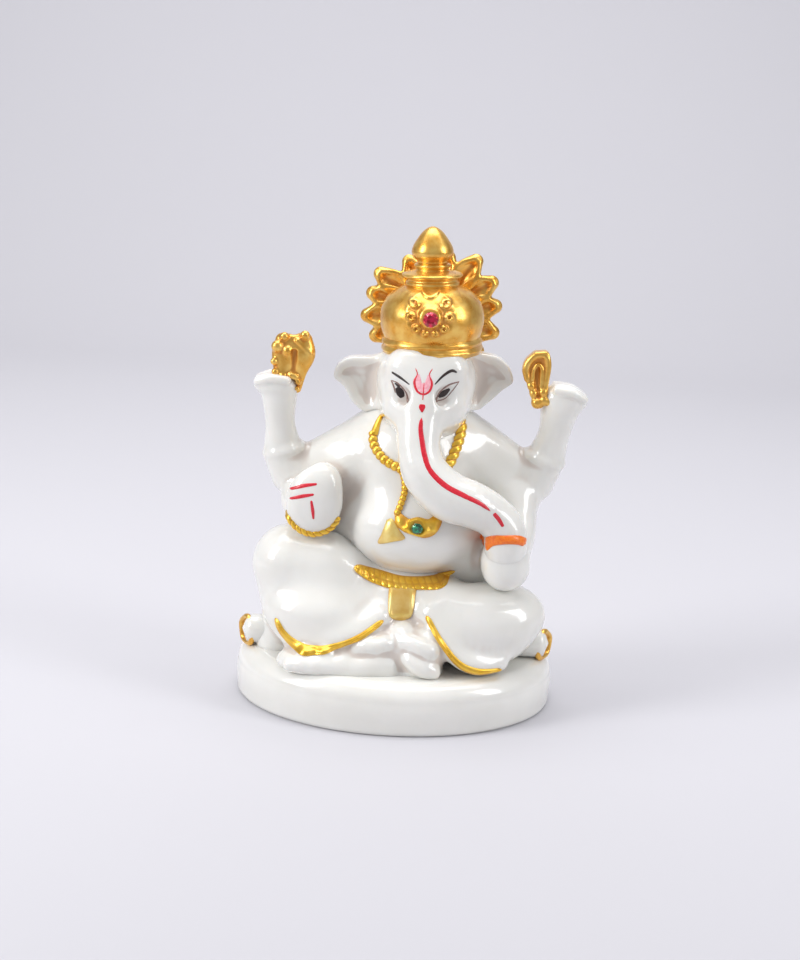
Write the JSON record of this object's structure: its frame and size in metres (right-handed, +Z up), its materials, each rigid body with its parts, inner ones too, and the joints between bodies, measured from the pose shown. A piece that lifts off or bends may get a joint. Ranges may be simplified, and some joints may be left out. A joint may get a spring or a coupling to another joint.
{
  "type": "seated ganesha idol",
  "caption": "Seated elephant-headed, four-armed white idol with a gold crown, halo and trim on an oval plinth; a small ornament for a shrine or shelf.",
  "frame": {"origin": "centre of the plinth's flat underside, on the surface that it stands on", "axes": "+Z up through the crown, -Y the way the figure faces, +X towards the figure's own left hand"},
  "size_m": [0.095, 0.0726, 0.1328],
  "materials": {
    "white_resin": "gloss",
    "gold_paint": "metallic gloss paint",
    "orange_paint": "gloss paint",
    "red_paint": "gloss paint",
    "dark_paint": "gloss paint",
    "red_stone": "faceted",
    "green_stone": "faceted"
  },
  "bodies": {
    "root": {"axe": "gold_paint", "belt": "gold_paint", "crown_band": "gold_paint", "crown_dome": "gold_paint", "crown_finial": "gold_paint", "crown_rings": "gold_paint", "crown_rosette": "gold_paint", "crown_stone": "red_stone", "front_left_arm": "white_resin", "front_right_arm": "white_resin", "halo": "gold_paint", "head": "white_resin", "hips": "white_resin", "leaf_pendant": "gold_paint", "left_armlet": "white_resin", "left_bolster_ring": "gold_paint", "left_ear": "white_resin", "left_foot": "white_resin", "left_hand_with_sweet": "white_resin", "left_hem": "gold_paint", "left_leg": "white_resin", "long_chain": "gold_paint", "necklace": "gold_paint", "noose": "gold_paint", "pendant": "gold_paint", "pendant_stone": "green_stone", "plinth": "white_resin", "rear_left_arm": "white_resin", "rear_left_hand": "white_resin", "rear_right_arm": "white_resin", "rear_right_hand": "white_resin", "right_armlet": "white_resin", "right_bolster_ring": "gold_paint", "right_ear": "white_resin", "right_foot": "white_resin", "right_hem": "gold_paint", "right_leg": "white_resin", "right_palm": "white_resin", "right_toes": "white_resin", "sash": "gold_paint", "seat_bolster": "white_resin", "torso": "white_resin", "trunk": "white_resin", "trunk_band": "orange_paint", "wrist_bangle": "gold_paint"}
  },
  "joints": []
}
